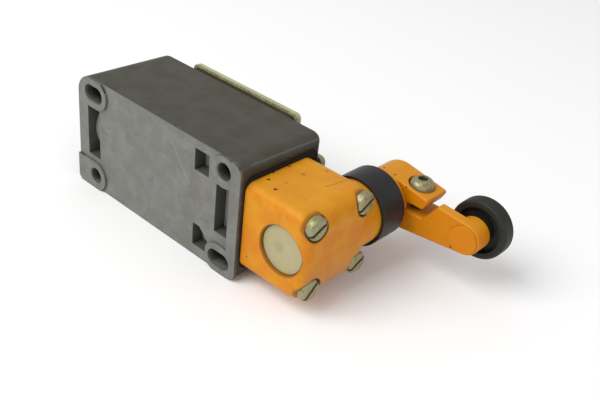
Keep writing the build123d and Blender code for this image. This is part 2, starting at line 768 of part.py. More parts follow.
def lever_outline():
    """Hub, split clamp jaw and arm, drawn from the shaft axis with the arm along +X."""
    lean = math.asin((hub_r - arm_end_r) / lever_length)
    normal_deg = 90.0 - math.degrees(lean)
    hub_low = polar(hub_r, -normal_deg)
    end_low = (lever_length + polar(arm_end_r, -normal_deg)[0], polar(arm_end_r, -normal_deg)[1])
    end_high = (end_low[0], -end_low[1])
    hub_high = (0.8, math.sqrt(hub_r ** 2 - 0.8 ** 2))
    shoulder = (shoulder_start, shoulder_height)
    jaw_top = (jaw_tip_top, jaw_tip_height)
    jaw_low = (jaw_tip_bottom, slot_top)
    slot_in = (0.0, slot_top)
    slot_low = (0.0, slot_bottom)
    floor_end = (slot_floor_end, slot_bottom)
    straight = [Line(hub_low, end_low), Line(end_high, shoulder), Line(shoulder, floor_end),
                Line(floor_end, slot_low), Line(slot_low, slot_in), Line(slot_in, jaw_low),
                Line(jaw_low, jaw_top), Line(jaw_top, hub_high)]
    arm_end = ThreePointArc(end_low, (lever_length + arm_end_r, 0), end_high)
    hub_back = ThreePointArc(hub_high, (-hub_r, 0), hub_low)
    face = make_face([straight[0], arm_end] + straight[1:] + [hub_back])
    root = face.vertices().sort_by_distance(floor_end)[:1]
    face = fillet(root, slot_root_r)
    points = [face.vertices().sort_by_distance(point)[0] for point in (shoulder, jaw_top, jaw_low)]
    return fillet(points, jaw_corner_r)


def outer_edges(arm, y):
    """Edges of the arm's outline at one depth, without those inside the clamp slot."""
    at_depth = arm.edges().filter_by_position(Axis.Y, y - 0.01, y + 0.01)
    return [e for e in at_depth if not slot_bottom - 0.05 < (e @ 0.5).Z < slot_top + 0.05]


def lever_arm():
    arm = prism_y(lever_outline(), arm_rear, hub_end_y, shaft_x)
    far = shaft_x + lever_length + 2 * arm_end_r
    tall = (-2 * hub_r, 2 * hub_r)
    arm -= box_between((shaft_x + block_end, far), (arm_front, hub_end_y + 1), tall)
    arm = fillet(outer_edges(arm, hub_end_y), arm_edge)
    arm = fillet(outer_edges(arm, arm_rear), arm_edge)
    arm += rod_y(hub_r, hub_start_y, arm_rear + 1.0, shaft_x)
    arm += rod_y(arm_end_r, arm_rear + arm_edge + 0.3, boss_front, roller_x)
    arm += rod_y(rear_disc_r, arm_rear - rear_disc_height, arm_rear + 0.5, roller_x)
    arm -= rod_y(shaft_front_r, hub_start_y - 1, hub_end_y + 1, shaft_x)
    arm -= rod_y(roller_pin_r, arm_rear + 0.6, boss_front + 1, roller_x)
    arm -= rod_z(clamp_screw_d / 2 + 0.2, slot_bottom, 2 * hub_r, clamp_x, clamp_y)
    arm -= rod_z(clamp_seat_r, clamp_seat_height, 2 * hub_r, clamp_x, clamp_y)
    arm -= rod_z(clamp_screw_d / 2, clamp_thread_floor, slot_top, clamp_x, clamp_y)
    return arm


def clamp_screw():
    """Button head screw with a hexagon socket, along Z."""
    head_r = clamp_head_d / 2
    top = clamp_seat_height + clamp_head_height
    head = rod_z(head_r, clamp_seat_height, top, clamp_x, clamp_y)
    head = fillet(head.edges().group_by(Axis.Z)[-1], clamp_head_height * 0.8)
    socket_r = socket_across_flats / math.sqrt(3)
    socket = extrude(Pos(clamp_x, clamp_y, top - 1.3) * RegularPolygon(socket_r, 6), amount=2.0)
    shank = rod_z(clamp_screw_d / 2, clamp_thread_floor + 0.3, clamp_seat_height, clamp_x, clamp_y)
    return head + shank - socket


def roller_pin():
    pin_end = roller_front + 0.15
    pin = rod_y(roller_pin_r, arm_rear + 0.7, pin_end, roller_x)
    head = rod_y(roller_pin_head_r, pin_end, pin_end + roller_pin_head_height, roller_x)
    head = fillet(head.edges().group_by(Axis.Y)[-1], roller_pin_head_height * 0.6)
    return pin + head


def roller_washer():
    start = boss_front + 0.04
    ring = rod_y(roller_dish_inner_r - 0.4, start, start + washer_thickness, roller_x)
    return ring - rod_y(roller_pin_r + 0.01, start - 1, start + 1, roller_x)


# ---------------------------------------------------------------- roller
def roller():
    """Dished wheel with a raised hub towards the arm."""
    wheel = rod_y(roller_r, roller_rear, roller_front, roller_x)
    wheel = fillet(wheel.edges(), roller_edge)
    rear_dish = rod_y(roller_dish_outer_r, roller_rear - 1, roller_rear + roller_dish_depth, roller_x)
    front_floor = roller_front - roller_front_dish_depth
    front_dish = rod_y(roller_dish_outer_r, front_floor, roller_front + 1, roller_x)
    hub = rod_y(roller_dish_inner_r, roller_hub_rear, roller_front - 0.1, roller_x)
    wheel = wheel - rear_dish - front_dish + hub
    return wheel - rod_y(roller_bush_r, roller_hub_rear - 1, roller_front + 1, roller_x)


def roller_bush():
    sleeve = rod_y(roller_bush_r - 0.01, roller_hub_rear, roller_front, roller_x)
    return sleeve - rod_y(roller_pin_r + running_clearance, roller_hub_rear - 1, roller_front + 1, roller_x)


# ---------------------------------------------------------------- tappet
def tappet():
    """Round slider with a roof-shaped tip that rides on the cam."""
    slider = rod_x(tappet_r, tappet_foot_x, tappet_tip_x, head_centre_y)
    tip_centre = tappet_tip_x - tappet_tip_r
    lean = tappet_tip_r * math.sqrt(0.5)
    spread = tappet_r + 1.0
    shoulder_x = tip_centre + lean - (spread - lean)
    low = (tip_centre + lean, -lean)
    high = (tip_centre + lean, lean)
    edges = [Line((shoulder_x, -spread), low), ThreePointArc(low, (tappet_tip_x, 0), high),
             Line(high, (shoulder_x, spread)), Line((shoulder_x, spread), (tappet_foot_x - 1, spread)),
             Line((tappet_foot_x - 1, spread), (tappet_foot_x - 1, -spread)),
             Line((tappet_foot_x - 1, -spread), (shoulder_x, -spread))]
    roof = prism_y(make_face(edges), head_centre_y - spread, head_centre_y + spread)
    return slider & roof


# ---------------------------------------------------------------- contact block
def strip_slots(strip_x):
    """Slots through which a pair of contact strips leaves the channel."""
    play = 0.05
    x = (strip_x - play, strip_x + strip_thickness + play)
    y = (head_centre_y - strip_half_y - play, block_front_y + 1)
    outer = strip_outer_z + play
    return [box_between(x, y, sorted((side * strip_inner_z, side * outer))) for side in (-1, 1)]


def terminal_places():
    closed_x = closed_strip_x + terminal_offset
    open_x = open_strip_x + strip_thickness - terminal_offset
    return [(x, z) for x in (closed_x, open_x) for z in (-terminal_z, terminal_z)]


def contact_block():
    """Moulded base: core with the carrier's channel, and two terminal wings."""
    y = (ledge_height, block_front_y)
    base = box_between((block_left, block_right), y, (-block_core_half, block_core_half))
    base += box_between((wing_left, wing_right), y, (-block_half, block_half))
    floor_y = head_centre_y - carrier_half_y - 0.05
    above = (floor_y, block_front_y + 1)
    rail_half = carrier_half_z + 0.05
    base -= box_between((channel_left, channel_right), above, (-rail_half, rail_half))
    wide_left = open_strip_x - 1.5
    wide_right = closed_strip_x + strip_thickness + 1.0
    base -= box_between((wide_left, wide_right), above, (-channel_half, channel_half))
    base -= rod_x(carrier_nose_r + running_clearance, channel_right - 1, block_right + 1, head_centre_y)
    seat_r = return_spring_mean_r + return_spring_wire_d / 2 + 0.2
    base -= rod_x(seat_r, channel_left - return_spring_seat, channel_left + 1, head_centre_y)
    for strip_x in (closed_strip_x, open_strip_x):
        for slot in strip_slots(strip_x):
            base -= slot
    for x, z in terminal_places():
        base -= rod_y(terminal_screw_d / 2, block_front_y - terminal_screw_length, block_front_y + 1, x, z)
    for z in (-terminal_z, terminal_z):
        base -= rod_y(block_screw_d / 2 + 0.15, ledge_height - 1, block_front_y + 1, block_screw_x, z)
        base -= rod_y(block_screw_d, block_front_y - 2.4, block_front_y + 1, block_screw_x, z)
    return base


def block_cover():
    x = (block_left + 0.8, block_right - 0.8)
    y = (block_front_y, block_front_y + block_cover_thickness)
    plate = box_between(x, y, (-channel_half - 0.35, channel_half + 0.35))
    return chamfer(plate.edges().group_by(Axis.Y)[-1], 0.3)


def contact_strip(strip_x, side, outward):
    """Upright strip that turns into a terminal pad, for one side of the block."""
    z = sorted((side * strip_inner_z, side * strip_outer_z))
    top = block_front_y + strip_thickness
    x = (strip_x, strip_x + strip_thickness)
    upright = box_between(x, (head_centre_y - strip_half_y, block_front_y), z)
    outer_z = sorted((side * (terminal_z - terminal_pad_width / 2), side * strip_outer_z))
    upright += box_between(x, (block_front_y - 1, top), outer_z)
    strip_middle = strip_x + strip_thickness / 2
    pad_x = sorted((strip_middle, strip_middle + outward * terminal_pad_length))
    half_pad = terminal_pad_width / 2
    pad_z = sorted((side * (terminal_z - half_pad), side * (terminal_z + half_pad)))
    return upright + box_between(pad_x, (block_front_y, top), pad_z)


def contact_strips(strip_x, outward, screw_x):
    strips = []
    for side in (-1, 1):
        strip = contact_strip(strip_x, side, outward)
        strip -= rod_y(terminal_screw_d / 2 + 0.1, block_front_y - 1, block_front_y + 2, screw_x,
                       side * terminal_z)
        strips.append(strip)
    return strips


def break_contact_strips():
    return contact_strips(closed_strip_x, 1, closed_strip_x + terminal_offset)


def make_contact_strips():
    return contact_strips(open_strip_x, -1, open_strip_x + strip_thickness - terminal_offset)


def contact_tips(x_from, x_to):
    return [rod_x(tip_r, x_from, x_to, head_centre_y, side * tip_z) for side in (-1, 1)]


def fixed_tips():
    closed = contact_tips(closed_strip_x - tip_height, closed_strip_x)
    opened = contact_tips(open_strip_x + strip_thickness, open_tip_face)
    return closed + opened


def terminal_clamps():
    low = block_front_y + strip_thickness
    clamps = []
    half = clamp_plate_side / 2
    for x, z in terminal_places():
        plate = box_between((x - half, x + half), (low, low + clamp_plate_thickness), (z - half, z + half))
        clamps.append(plate - rod_y(terminal_screw_d / 2 + 0.1, low - 1, low + 2, x, z))
    return clamps


def terminal_screws():
    seat = block_front_y + strip_thickness + clamp_plate_thickness
    length = terminal_screw_length + seat - block_front_y - 0.5
    screw = slotted_screw(terminal_screw_d, length, terminal_screw_head_d, 1.9, 0.9, 1.0)
    return [to_plus_y(screw, x, seat, z, 20.0 + 35.0 * i) for i, (x, z) in enumerate(terminal_places())]


def block_screws():
    seat = block_front_y - 2.4
    length = seat - ledge_height + 3.6
    screw = slotted_screw(block_screw_d, length, 2 * block_screw_d - 0.6, 1.8, 0.8, 0.9)
    return [to_plus_y(screw, block_screw_x, seat, z, 30.0 + 50.0 * i)
            for i, z in enumerate((-terminal_z, terminal_z))]


def earth_screw():
    seat = earth_boss_top + 1.0
    screw = slotted_screw(earth_screw_d, 7.5, 5.6, 1.9, 0.9, 1.0)
    return to_plus_y(screw, earth_x, seat, earth_z, 15.0)


def earth_clamp():
    ring = rod_y(2.9, earth_boss_top, earth_boss_top + 1.0, earth_x, earth_z)
    return ring - rod_y(earth_screw_d / 2 + 0.1, earth_boss_top - 1, earth_boss_top + 2, earth_x, earth_z)


# ---------------------------------------------------------------- contact carrier
def carrier_window(x_from, x_to):
    y = (head_centre_y - window_half_y, head_centre_y + window_half_y)
    return box_between((x_from, x_to), y, (-carrier_half_z - 1, carrier_half_z + 1))


def contact_carrier():
    """Moulded slider with one window for each bridge, and a round nose under the tappet."""
    y = (head_centre_y - carrier_half_y, head_centre_y + carrier_half_y)
    bar = box_between((carrier_left, channel_right - 0.5), y, (-carrier_half_z, carrier_half_z))
    bar += rod_x(carrier_nose_r, channel_right - 1.5, carrier_nose_end, head_centre_y)
    spring_start = closed_bridge_rear - bridge_spring_length
    bar -= carrier_window(spring_start, closed_bridge_front + 0.2)
    bar -= carrier_window(open_bridge_rear, open_bridge_front + bridge_spring_length)
    bore_r = return_spring_mean_r + return_spring_wire_d / 2 + 0.2
    return bar - rod_x(bore_r, carrier_left - 1, carrier_left + return_spring_pocket, head_centre_y)


def contact_bridge(x_from):
    y = (head_centre_y - bridge_half_y, head_centre_y + bridge_half_y)
    return box_between((x_from, x_from + bridge_thickness), y, (-bridge_half_z, bridge_half_z))


def break_bridge():
    return contact_bridge(closed_bridge_rear)


def make_bridge():
    return contact_bridge(open_bridge_rear)


def bridge_tips():
    closed = contact_tips(closed_bridge_front, closed_bridge_front + tip_height)
    opened = contact_tips(open_bridge_rear - tip_height, open_bridge_rear)
    return closed + opened


def spring_x(mean_r, wire_d, x_from, x_to, turns):
    wound = coil(mean_r, wire_d, x_to - x_from - wire_d, turns)
    return Pos(x_from + wire_d / 2, head_centre_y, 0) * Rot(0, 90, 0) * wound


def bridge_springs():
    closed = spring_x(bridge_spring_mean_r, bridge_spring_wire_d,
                      closed_bridge_rear - bridge_spring_length, closed_bridge_rear, 5.0)
    opened = spring_x(bridge_spring_mean_r, bridge_spring_wire_d, open_bridge_front,
                      open_bridge_front + bridge_spring_length, 5.0)
    return [closed, opened]


def return_spring():
    start = channel_left - return_spring_seat
    end = carrier_left + return_spring_pocket
    return spring_x(return_spring_mean_r, return_spring_wire_d, start, end, 8.0)


# ---------------------------------------------------------------- write the pieces
def pieces():
    return {
        "housing": housing(), "cover": cover(), "cover_gasket": cover_gasket(),
        "cover_screws": cover_screws(), "head": head(), "head_gasket": head_gasket(),
        "head_screws": head_screws(), "rear_cap": rear_cap(), "rear_bearing": rear_bearing(),
        "front_bush": front_bush(), "shaft_seal": shaft_seal(), "tappet_guide": tappet_guide(),
        "cam_sleeve": cam_sleeve(), "cam_spring": cam_spring(), "centring_spring": centring_spring(),
        "shaft": shaft(), "driver": driver(), "driver_pin": driver_pin(),
        "dust_collar": dust_collar(), "lever_arm": lever_arm(), "clamp_screw": clamp_screw(),
        "roller_pin": roller_pin(), "roller_washer": roller_washer(), "roller": roller(),
        "roller_bush": roller_bush(), "tappet": tappet(), "contact_block": contact_block(),
        "block_cover": block_cover(), "break_contact_strips": break_contact_strips(),
        "make_contact_strips": make_contact_strips(), "fixed_tips": fixed_tips(),
        "terminal_clamps": terminal_clamps(), "terminal_screws": terminal_screws(),
        "block_screws": block_screws(), "earth_screw": earth_screw(), "earth_clamp": earth_clamp(),
        "contact_carrier": contact_carrier(), "break_bridge": break_bridge(),
        "make_bridge": make_bridge(), "bridge_tips": bridge_tips(),
        "bridge_springs": bridge_springs(), "return_spring": return_spring(),
    }


os.makedirs("parts", exist_ok=True)
for node, shape in pieces().items():
    solid = Compound(children=shape) if isinstance(shape, list) else shape
    export_step(solid, f"parts/{node}.step")
    print(node, round(solid.volume, 1))
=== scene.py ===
import math

import bpy
from mathutils import Matrix, Vector


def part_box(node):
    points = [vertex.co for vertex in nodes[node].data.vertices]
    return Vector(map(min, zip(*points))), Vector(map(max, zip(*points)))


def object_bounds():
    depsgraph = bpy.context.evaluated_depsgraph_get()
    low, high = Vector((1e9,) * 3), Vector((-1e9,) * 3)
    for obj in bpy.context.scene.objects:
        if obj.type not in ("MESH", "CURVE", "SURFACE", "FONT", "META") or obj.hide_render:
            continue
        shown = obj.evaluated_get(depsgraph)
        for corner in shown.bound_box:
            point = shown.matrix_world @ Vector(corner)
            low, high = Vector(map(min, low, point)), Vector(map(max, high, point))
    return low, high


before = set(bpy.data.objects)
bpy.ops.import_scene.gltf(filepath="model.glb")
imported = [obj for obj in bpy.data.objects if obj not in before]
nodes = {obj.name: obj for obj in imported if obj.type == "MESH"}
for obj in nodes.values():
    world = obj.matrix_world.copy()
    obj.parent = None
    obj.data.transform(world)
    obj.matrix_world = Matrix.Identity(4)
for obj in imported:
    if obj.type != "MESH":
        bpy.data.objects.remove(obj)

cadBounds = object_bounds()
bpy.ops.object.select_all(action="DESELECT")
millimetre = 0.001
print("frame loaded:", len(nodes), "nodes")


def ends(node):
    # lowest and highest corner of a node, in millimetres
    low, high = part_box(node)
    return low / millimetre, high / millimetre


def middle(node):
    # centre of a node's box, in millimetres
    low, high = ends(node)
    return (low + high) / 2


# places on the object that the finishes refer to
housingLow, housingHigh = ends("housing")
headLow, headHigh = ends("head")
capLow, capHigh = ends("rear_cap")
endScrewsLow, endScrewsHigh = ends("head_screws")
clampLow, clampHigh = ends("clamp_screw")
coverLow = ends("cover")[0]
shaftAxis = middle("rear_cap")
clampAxis = middle("clamp_screw")
rollerAxis = middle("roller")


class Wire:
    # one value, colour or vector in a material's node tree
    def __init__(self, finish, socket):
        self.finish = finish
        self.socket = socket

    def maths(self, operation, first, second):
        return self.finish.node("ShaderNodeMath", {"operation": operation}, {0: first, 1: second})

    def __add__(self, other):
        return self.maths("ADD", self, other)

    def __radd__(self, other):
        return self.maths("ADD", other, self)

    def __sub__(self, other):
        return self.maths("SUBTRACT", self, other)

    def __rsub__(self, other):
        return self.maths("SUBTRACT", other, self)

    def __mul__(self, other):
        return self.maths("MULTIPLY", self, other)

    def __rmul__(self, other):
        return self.maths("MULTIPLY", other, self)

    def __truediv__(self, other):
        return self.maths("DIVIDE", self, other)

    def __abs__(self):
        return self.maths("ABSOLUTE", self, 0.0)

    def smaller(self, other):
        return self.maths("MINIMUM", self, other)

    def larger(self, other):
        return self.maths("MAXIMUM", self, other)

    def power(self, exponent):
        return self.maths("POWER", self, exponent)

    def sine(self):
        return self.maths("SINE", self, 0.0)


class Finish:
    # a material with one main shader, and the patterns that feed it; lengths are millimetres
    def __init__(self, name, **constants):
        self.material = bpy.data.materials.new(name)
        self.material.use_nodes = True
        self.tree = self.material.node_tree
        self.tree.nodes.clear()
        self.shader = self.tree.nodes.new("ShaderNodeBsdfPrincipled")
        output = self.tree.nodes.new("ShaderNodeOutputMaterial")
        self.tree.links.new(self.shader.outputs[0], output.inputs["Surface"])
        for socket, value in constants.items():
            self.shader.inputs[socket.replace("_", " ")].default_value = value
        coordinates = self.tree.nodes.new("ShaderNodeTexCoord")
        metres = Wire(self, coordinates.outputs["Object"])
        self.place = self.vector("SCALE", metres, scale=1 / millimetre)
        self.x, self.y, self.z = self.split(self.place)
        self.facing = self.split(Wire(self, coordinates.outputs["Normal"]))

    def node(self, kind, settings=None, inputs=None, output=0):
        made = self.tree.nodes.new(kind)
        for name, value in (settings or {}).items():
            setattr(made, name, value)
        for name, value in (inputs or {}).items():
            self.plug(made.inputs[name], value)
        return Wire(self, made.outputs[output])

    def plug(self, socket, value):
        if isinstance(value, Wire):
            self.tree.links.new(value.socket, socket)
        else:
            socket.default_value = value

    def feed(self, name, value):
        self.plug(self.shader.inputs[name], value)

    def vector(self, operation, first, second=None, scale=None, output=0):
        inputs = {0: first}
        if second is not None:
            inputs[1] = second
        if scale is not None:
            inputs["Scale"] = scale
        return self.node("ShaderNodeVectorMath", {"operation": operation}, inputs, output)

    def split(self, vector):
        made = self.tree.nodes.new("ShaderNodeSeparateXYZ")
        self.tree.links.new(vector.socket, made.inputs[0])
        return [Wire(self, socket) for socket in made.outputs]

    def noise(self, scale, detail=3.0, roughness=0.5, distortion=0.0, stretch=None):
        place = self.vector("MULTIPLY", self.place, stretch) if stretch else self.place
        inputs = {"Vector": place, "Scale": scale, "Detail": detail,
                  "Roughness": roughness, "Distortion": distortion}
        return self.node("ShaderNodeTexNoise", None, inputs)

    def cells(self, scale):
        return self.node("ShaderNodeTexVoronoi", None, {"Vector": self.place, "Scale": scale})

    def ramp(self, value, low, high):
        # 0 at low and 1 at high, eased; low may be the larger of the two
        inputs = {"Value": value, "From Min": low, "From Max": high}
        return self.node("ShaderNodeMapRange", {"interpolation_type": "SMOOTHSTEP"}, inputs)

    def blend(self, factor, first, second):
        # first colour where factor is 0, second where it is 1
        inputs = {"Factor": factor, 6: first, 7: second}
        return self.node("ShaderNodeMix", {"data_type": "RGBA"}, inputs, 2)

    def bump(self, height, distance, strength=1.0, under=None):
        inputs = {"Height": height, "Distance": distance * millimetre, "Strength": strength}
        if under is not None:
            inputs["Normal"] = under
        return self.node("ShaderNodeBump", None, inputs)

    def radius(self, first, second):
        # distance from an axis, given the two offsets across it
        return (first * first + second * second).power(0.5)

    def spot(self, centre, radius, ragged=0.6):
        # 1 inside a ragged round mark, 0 outside
        wobble = (self.noise(1.6, 4.0, 0.7) - 0.5) * (2 * ragged * radius)
        away = self.vector("DISTANCE", self.place, centre, output=1) + wobble
        return self.ramp(away, radius * 1.1, radius * 0.7)

    def line(self, start, end, width):
        # 1 on a thin straight mark from start to end
        along = Vector(end) - Vector(start)
        fromStart = self.vector("SUBTRACT", self.place, start)
        share = self.vector("DOT_PRODUCT", fromStart, tuple(along), output=1)
        share = (share / along.length_squared).larger(0.0).smaller(1.0)
        nearest = self.vector("SCALE", tuple(along), scale=share)
        away = self.vector("DISTANCE", fromStart, nearest, output=1)
        away = away + (self.noise(0.9, 3.0, 0.6) - 0.5) * (1.5 * width)
        return self.ramp(away, width, width * 0.3)

    def crevice(self, reach):
        # 1 deep in a piece's own corners and slots
        inputs = {"Distance": reach * millimetre}
        settings = {"samples": 8, "only_local": True}
        return 1 - self.node("ShaderNodeAmbientOcclusion", settings, inputs, "AO")


def tone(red, green, blue):
    # a colour given as 0 to 255, made linear
    def linear(value):
        value = value / 255
        return value / 12.92 if value <= 0.04045 else ((value + 0.055) / 1.055) ** 2.4
    return (linear(red), linear(green), linear(blue), 1.0)


# cast body: green-grey lacquer outside, bare stained casting on the mounting side
bodyLook = {
    "lacquer": tone(71, 70, 60), "lacquerDull": tone(63, 62, 53), "lacquerDust": tone(87, 84, 72),
    "lipHighlight": tone(104, 102, 90), "endFaceShade": tone(52, 46, 34),
    "cast": tone(113, 113, 107), "castDark": tone(98, 97, 92), "castPale": tone(123, 123, 117),
    # the grime tone serves real dark specks and pits, and painted shade in pockets, holes and crevices
    "violet": tone(103, 100, 107), "brown": tone(106, 96, 80), "grimeAndShade": tone(36, 34, 28),
    # the worn tone serves real chips, and the painted highlight on the pocket floors
    "wearAndHighlight": tone(150, 149, 140), "streak": tone(142, 135, 106),
    "specular": 0.28,
    "lipPlace": 0.9,                # painted highlight line, behind the head end
    "holeRows": (30.0, 15.0),       # fixing holes, across X and Z
    "holeReach": (4.8, 3.3),        # half size of a fixing hole
    "padEnd": 5.6,                  # how far in the casting is bare
    "pocketDepth": 5.3, "pocketHalf": 17.6, "pocketMargin": 3.2,
    "scrape": ((7.0, 0.8, 15.0), (15.0, 0.8, 4.0), 0.45),
}


def lacquerColour(finish, mottle, fine):
    # lacquered outside: faintly cloudy and dusty, with a few dark specks, a painted highlight line along
    # the lip and painted shade on the end face next to the head
    look = bodyLook
    x = finish.x
    colour = finish.blend(finish.ramp(mottle, 0.35, 0.65), look["lacquer"], look["lacquerDull"])
    colour = finish.blend(finish.ramp(fine, 0.56, 0.80) * 0.30, colour, look["lacquerDust"])
    dots = finish.ramp(finish.cells(0.28), 0.10, 0.05) * finish.ramp(fine, 0.4, 0.55)
    colour = finish.blend(dots * 0.6, colour, look["grimeAndShade"])
    # painted highlight: a pale line along the lip behind the head end
    fromLip = abs(x - (housingHigh.x - look["lipPlace"]))
    lipHighlightLine = finish.ramp(fromLip, 0.35, 0.10) * finish.ramp(finish.y, 3.0, 6.0)
    colour = finish.blend(lipHighlightLine * 0.45, colour, look["lipHighlight"])
    # painted shade on the end face next to the head, with a brown painted reflection of the orange head
    endFaceShade = finish.ramp(x, housingHigh.x - 0.7, housingHigh.x - 0.1)
    return finish.blend(endFaceShade * 0.55, colour, look["endFaceShade"])


def castColour(finish, mottle, fine):
    # bare casting: soft clouds of violet and brown over grey, pits and one long scrape
    look = bodyLook
    colour = finish.blend(finish.ramp(mottle, 0.40, 0.64), look["cast"], look["castPale"])
    colour = finish.blend(finish.ramp(fine, 0.50, 0.80) * 0.35, colour, look["castPale"])
    clouds = finish.noise(0.10, 4.0, 0.6, 0.6, stretch=(1.0, 1.0, 1.5))
    colour = finish.blend(finish.ramp(clouds, 0.50, 0.72) * 0.45, colour, look["violet"])
    clouds = finish.noise(0.085, 5.0, 0.65, 0.9, stretch=(1.2, 3.0, 0.9))
    colour = finish.blend(finish.ramp(clouds, 0.56, 0.74) * 0.40, colour, look["brown"])
    smudges = finish.noise(0.42, 3.0, 0.55, 0.8, stretch=(0.7, 1.0, 1.0))
    colour = finish.blend(finish.ramp(smudges, 0.58, 0.72) * 0.45, colour, look["castDark"])
    pits = finish.ramp(finish.cells(0.55), 0.14, 0.07) * finish.ramp(smudges, 0.48, 0.58)
    colour = finish.blend(pits * 0.55, colour, look["grimeAndShade"])
    scrape = finish.line(*look["scrape"])
    return finish.blend(scrape * 0.55, colour, look["streak"])


def holeMask(finish):
    # 1 inside the four fixing holes
    rowX, rowZ = bodyLook["holeRows"]
    reachX, reachZ = bodyLook["holeReach"]
    across = finish.ramp(abs(abs(finish.x) - rowX), reachX, reachX - 0.2)
    return across * finish.ramp(abs(abs(finish.z) - rowZ), reachZ, reachZ - 0.2)


def pocketMask(finish):
    # 1 inside the pockets of the mounting side
    depth, half, margin = (bodyLook[key] for key in ("pocketDepth", "pocketHalf", "pocketMargin"))
    mask = finish.ramp(finish.y, depth, depth - 0.2) * finish.ramp(abs(finish.z), half, half - 0.2)
    mask = mask * finish.ramp(finish.x, housingLow.x + margin - 0.2, housingLow.x + margin)
    return mask * finish.ramp(finish.x, housingHigh.x - margin, housingHigh.x - margin - 0.2)


def bodyFinish():
    look = bodyLook
    finish = Finish("bodyLacquer", Specular_IOR_Level=look["specular"])
    x, y, z = finish.x, finish.y, finish.z
    mottle = finish.noise(0.16, 5.0, 0.6)
    fine = finish.noise(1.4, 4.0, 0.65)
    inHoles = holeMask(finish)
    inPockets = pocketMask(finish)
    padEnd = look["padEnd"]
    rear = finish.ramp(finish.facing[1], -0.3, -0.7) * finish.ramp(y, padEnd, padEnd - 0.2)
    bare = rear.larger(inPockets).larger(inHoles)
    lacquer = lacquerColour(finish, mottle, fine)
    colour = finish.blend(bare, lacquer, castColour(finish, mottle, fine))
    # worn rim of the mounting side, and small chips along it
    toEdge = (housingHigh.z - abs(z)).smaller(x - housingLow.x).smaller(housingHigh.x - x)
    rim = finish.ramp(y, 1.3, 0.3) * finish.ramp(toEdge, 1.1, 0.1) * finish.ramp(fine, 0.30, 0.50)
    colour = finish.blend(rim * 0.45, colour, look["castPale"])
    chips = finish.ramp(finish.noise(0.9, 4.0, 0.7), 0.60, 0.66) * finish.ramp(y, 2.2, 0.8)
    colour = finish.blend(chips * (1 - bare) * 0.5, colour, look["wearAndHighlight"])
    # painted shade on the pocket walls, a painted highlight on the pocket floors, and darker painted shade
    # down the fixing holes
    wall = finish.ramp(abs(finish.facing[1]), 0.6, 0.2)
    pocketWallShade = wall * inPockets * finish.ramp(y, 0.2, 1.4)
    colour = finish.blend(pocketWallShade * 0.55, colour, look["grimeAndShade"])
    pocketFloorHighlight = inPockets * finish.ramp(finish.facing[1], -0.6, -0.9) * finish.ramp(y, 1.0, 2.0)
    colour = finish.blend(pocketFloorHighlight * 0.8, colour, look["wearAndHighlight"])
    colour = finish.blend(inHoles * finish.ramp(y, 0.8, 5.0) * wall * 0.85, colour, look["grimeAndShade"])
    # painted shade in the housing's own corners and slots
    creviceShade = finish.ramp(finish.crevice(2.2), 0.25, 0.85) * (1 - pocketFloorHighlight)
    colour = finish.blend(creviceShade * 0.5, colour, look["grimeAndShade"])
    finish.feed("Base Color", colour)
    finish.feed("Roughness", 0.42 + fine * 0.12 + bare * 0.10)
    finish.feed("Metallic", bare * 0.20 + rim * 0.2)
    relief = finish.bump(finish.noise(5.5, 2.0), 0.012, 0.5)
    finish.feed("Normal", finish.bump(fine * (0.3 + bare * 0.7), 0.04, 0.6, relief))
    return finish.material


# cream lacquered cover
coverLook = {
    # the dirt tone serves real marks, and painted shade at the gasket edge and round the screws
    "cream": tone(180, 179, 138), "creamDull": tone(164, 162, 124), "dirtAndShade": tone(84, 78, 54),
    "bare": tone(140, 138, 124), "specular": 0.3,
}


def coverFinish():
    look = coverLook
    finish = Finish("coverLacquer", Specular_IOR_Level=look["specular"])
    mottle = finish.noise(0.13, 5.0, 0.6)
    fine = finish.noise(1.8, 3.0, 0.6)
    colour = finish.blend(finish.ramp(mottle, 0.35, 0.68), look["cream"], look["creamDull"])
    # painted shade along the edge by the gasket, marks, long scratches, and painted shade in the cover's
    # hollows round the screws
    low = finish.ramp(finish.y, coverLow.y + 0.9, coverLow.y) * finish.ramp(fine, 0.3, 0.6)
    colour = finish.blend(low * 0.7, colour, look["dirtAndShade"])
    marks = finish.noise(0.5, 5.0, 0.7, 0.5, stretch=(0.5, 1.0, 1.6))
    colour = finish.blend(finish.ramp(marks, 0.60, 0.72) * 0.35, colour, look["dirtAndShade"])
    scratches = finish.noise(1.0, 2.0, 0.5, 0.2, stretch=(0.12, 1.0, 5.0))
    colour = finish.blend(finish.ramp(scratches, 0.66, 0.72) * 0.4, colour, look["bare"])
    coverCreviceShade = finish.ramp(finish.crevice(1.5), 0.3, 0.9)
    colour = finish.blend(coverCreviceShade * 0.5, colour, look["dirtAndShade"])
    finish.feed("Base Color", colour)
    finish.feed("Roughness", 0.38 + fine * 0.18)
    finish.feed("Normal", finish.bump(finish.noise(4.0, 2.0), 0.02, 0.5))
    return finish.material


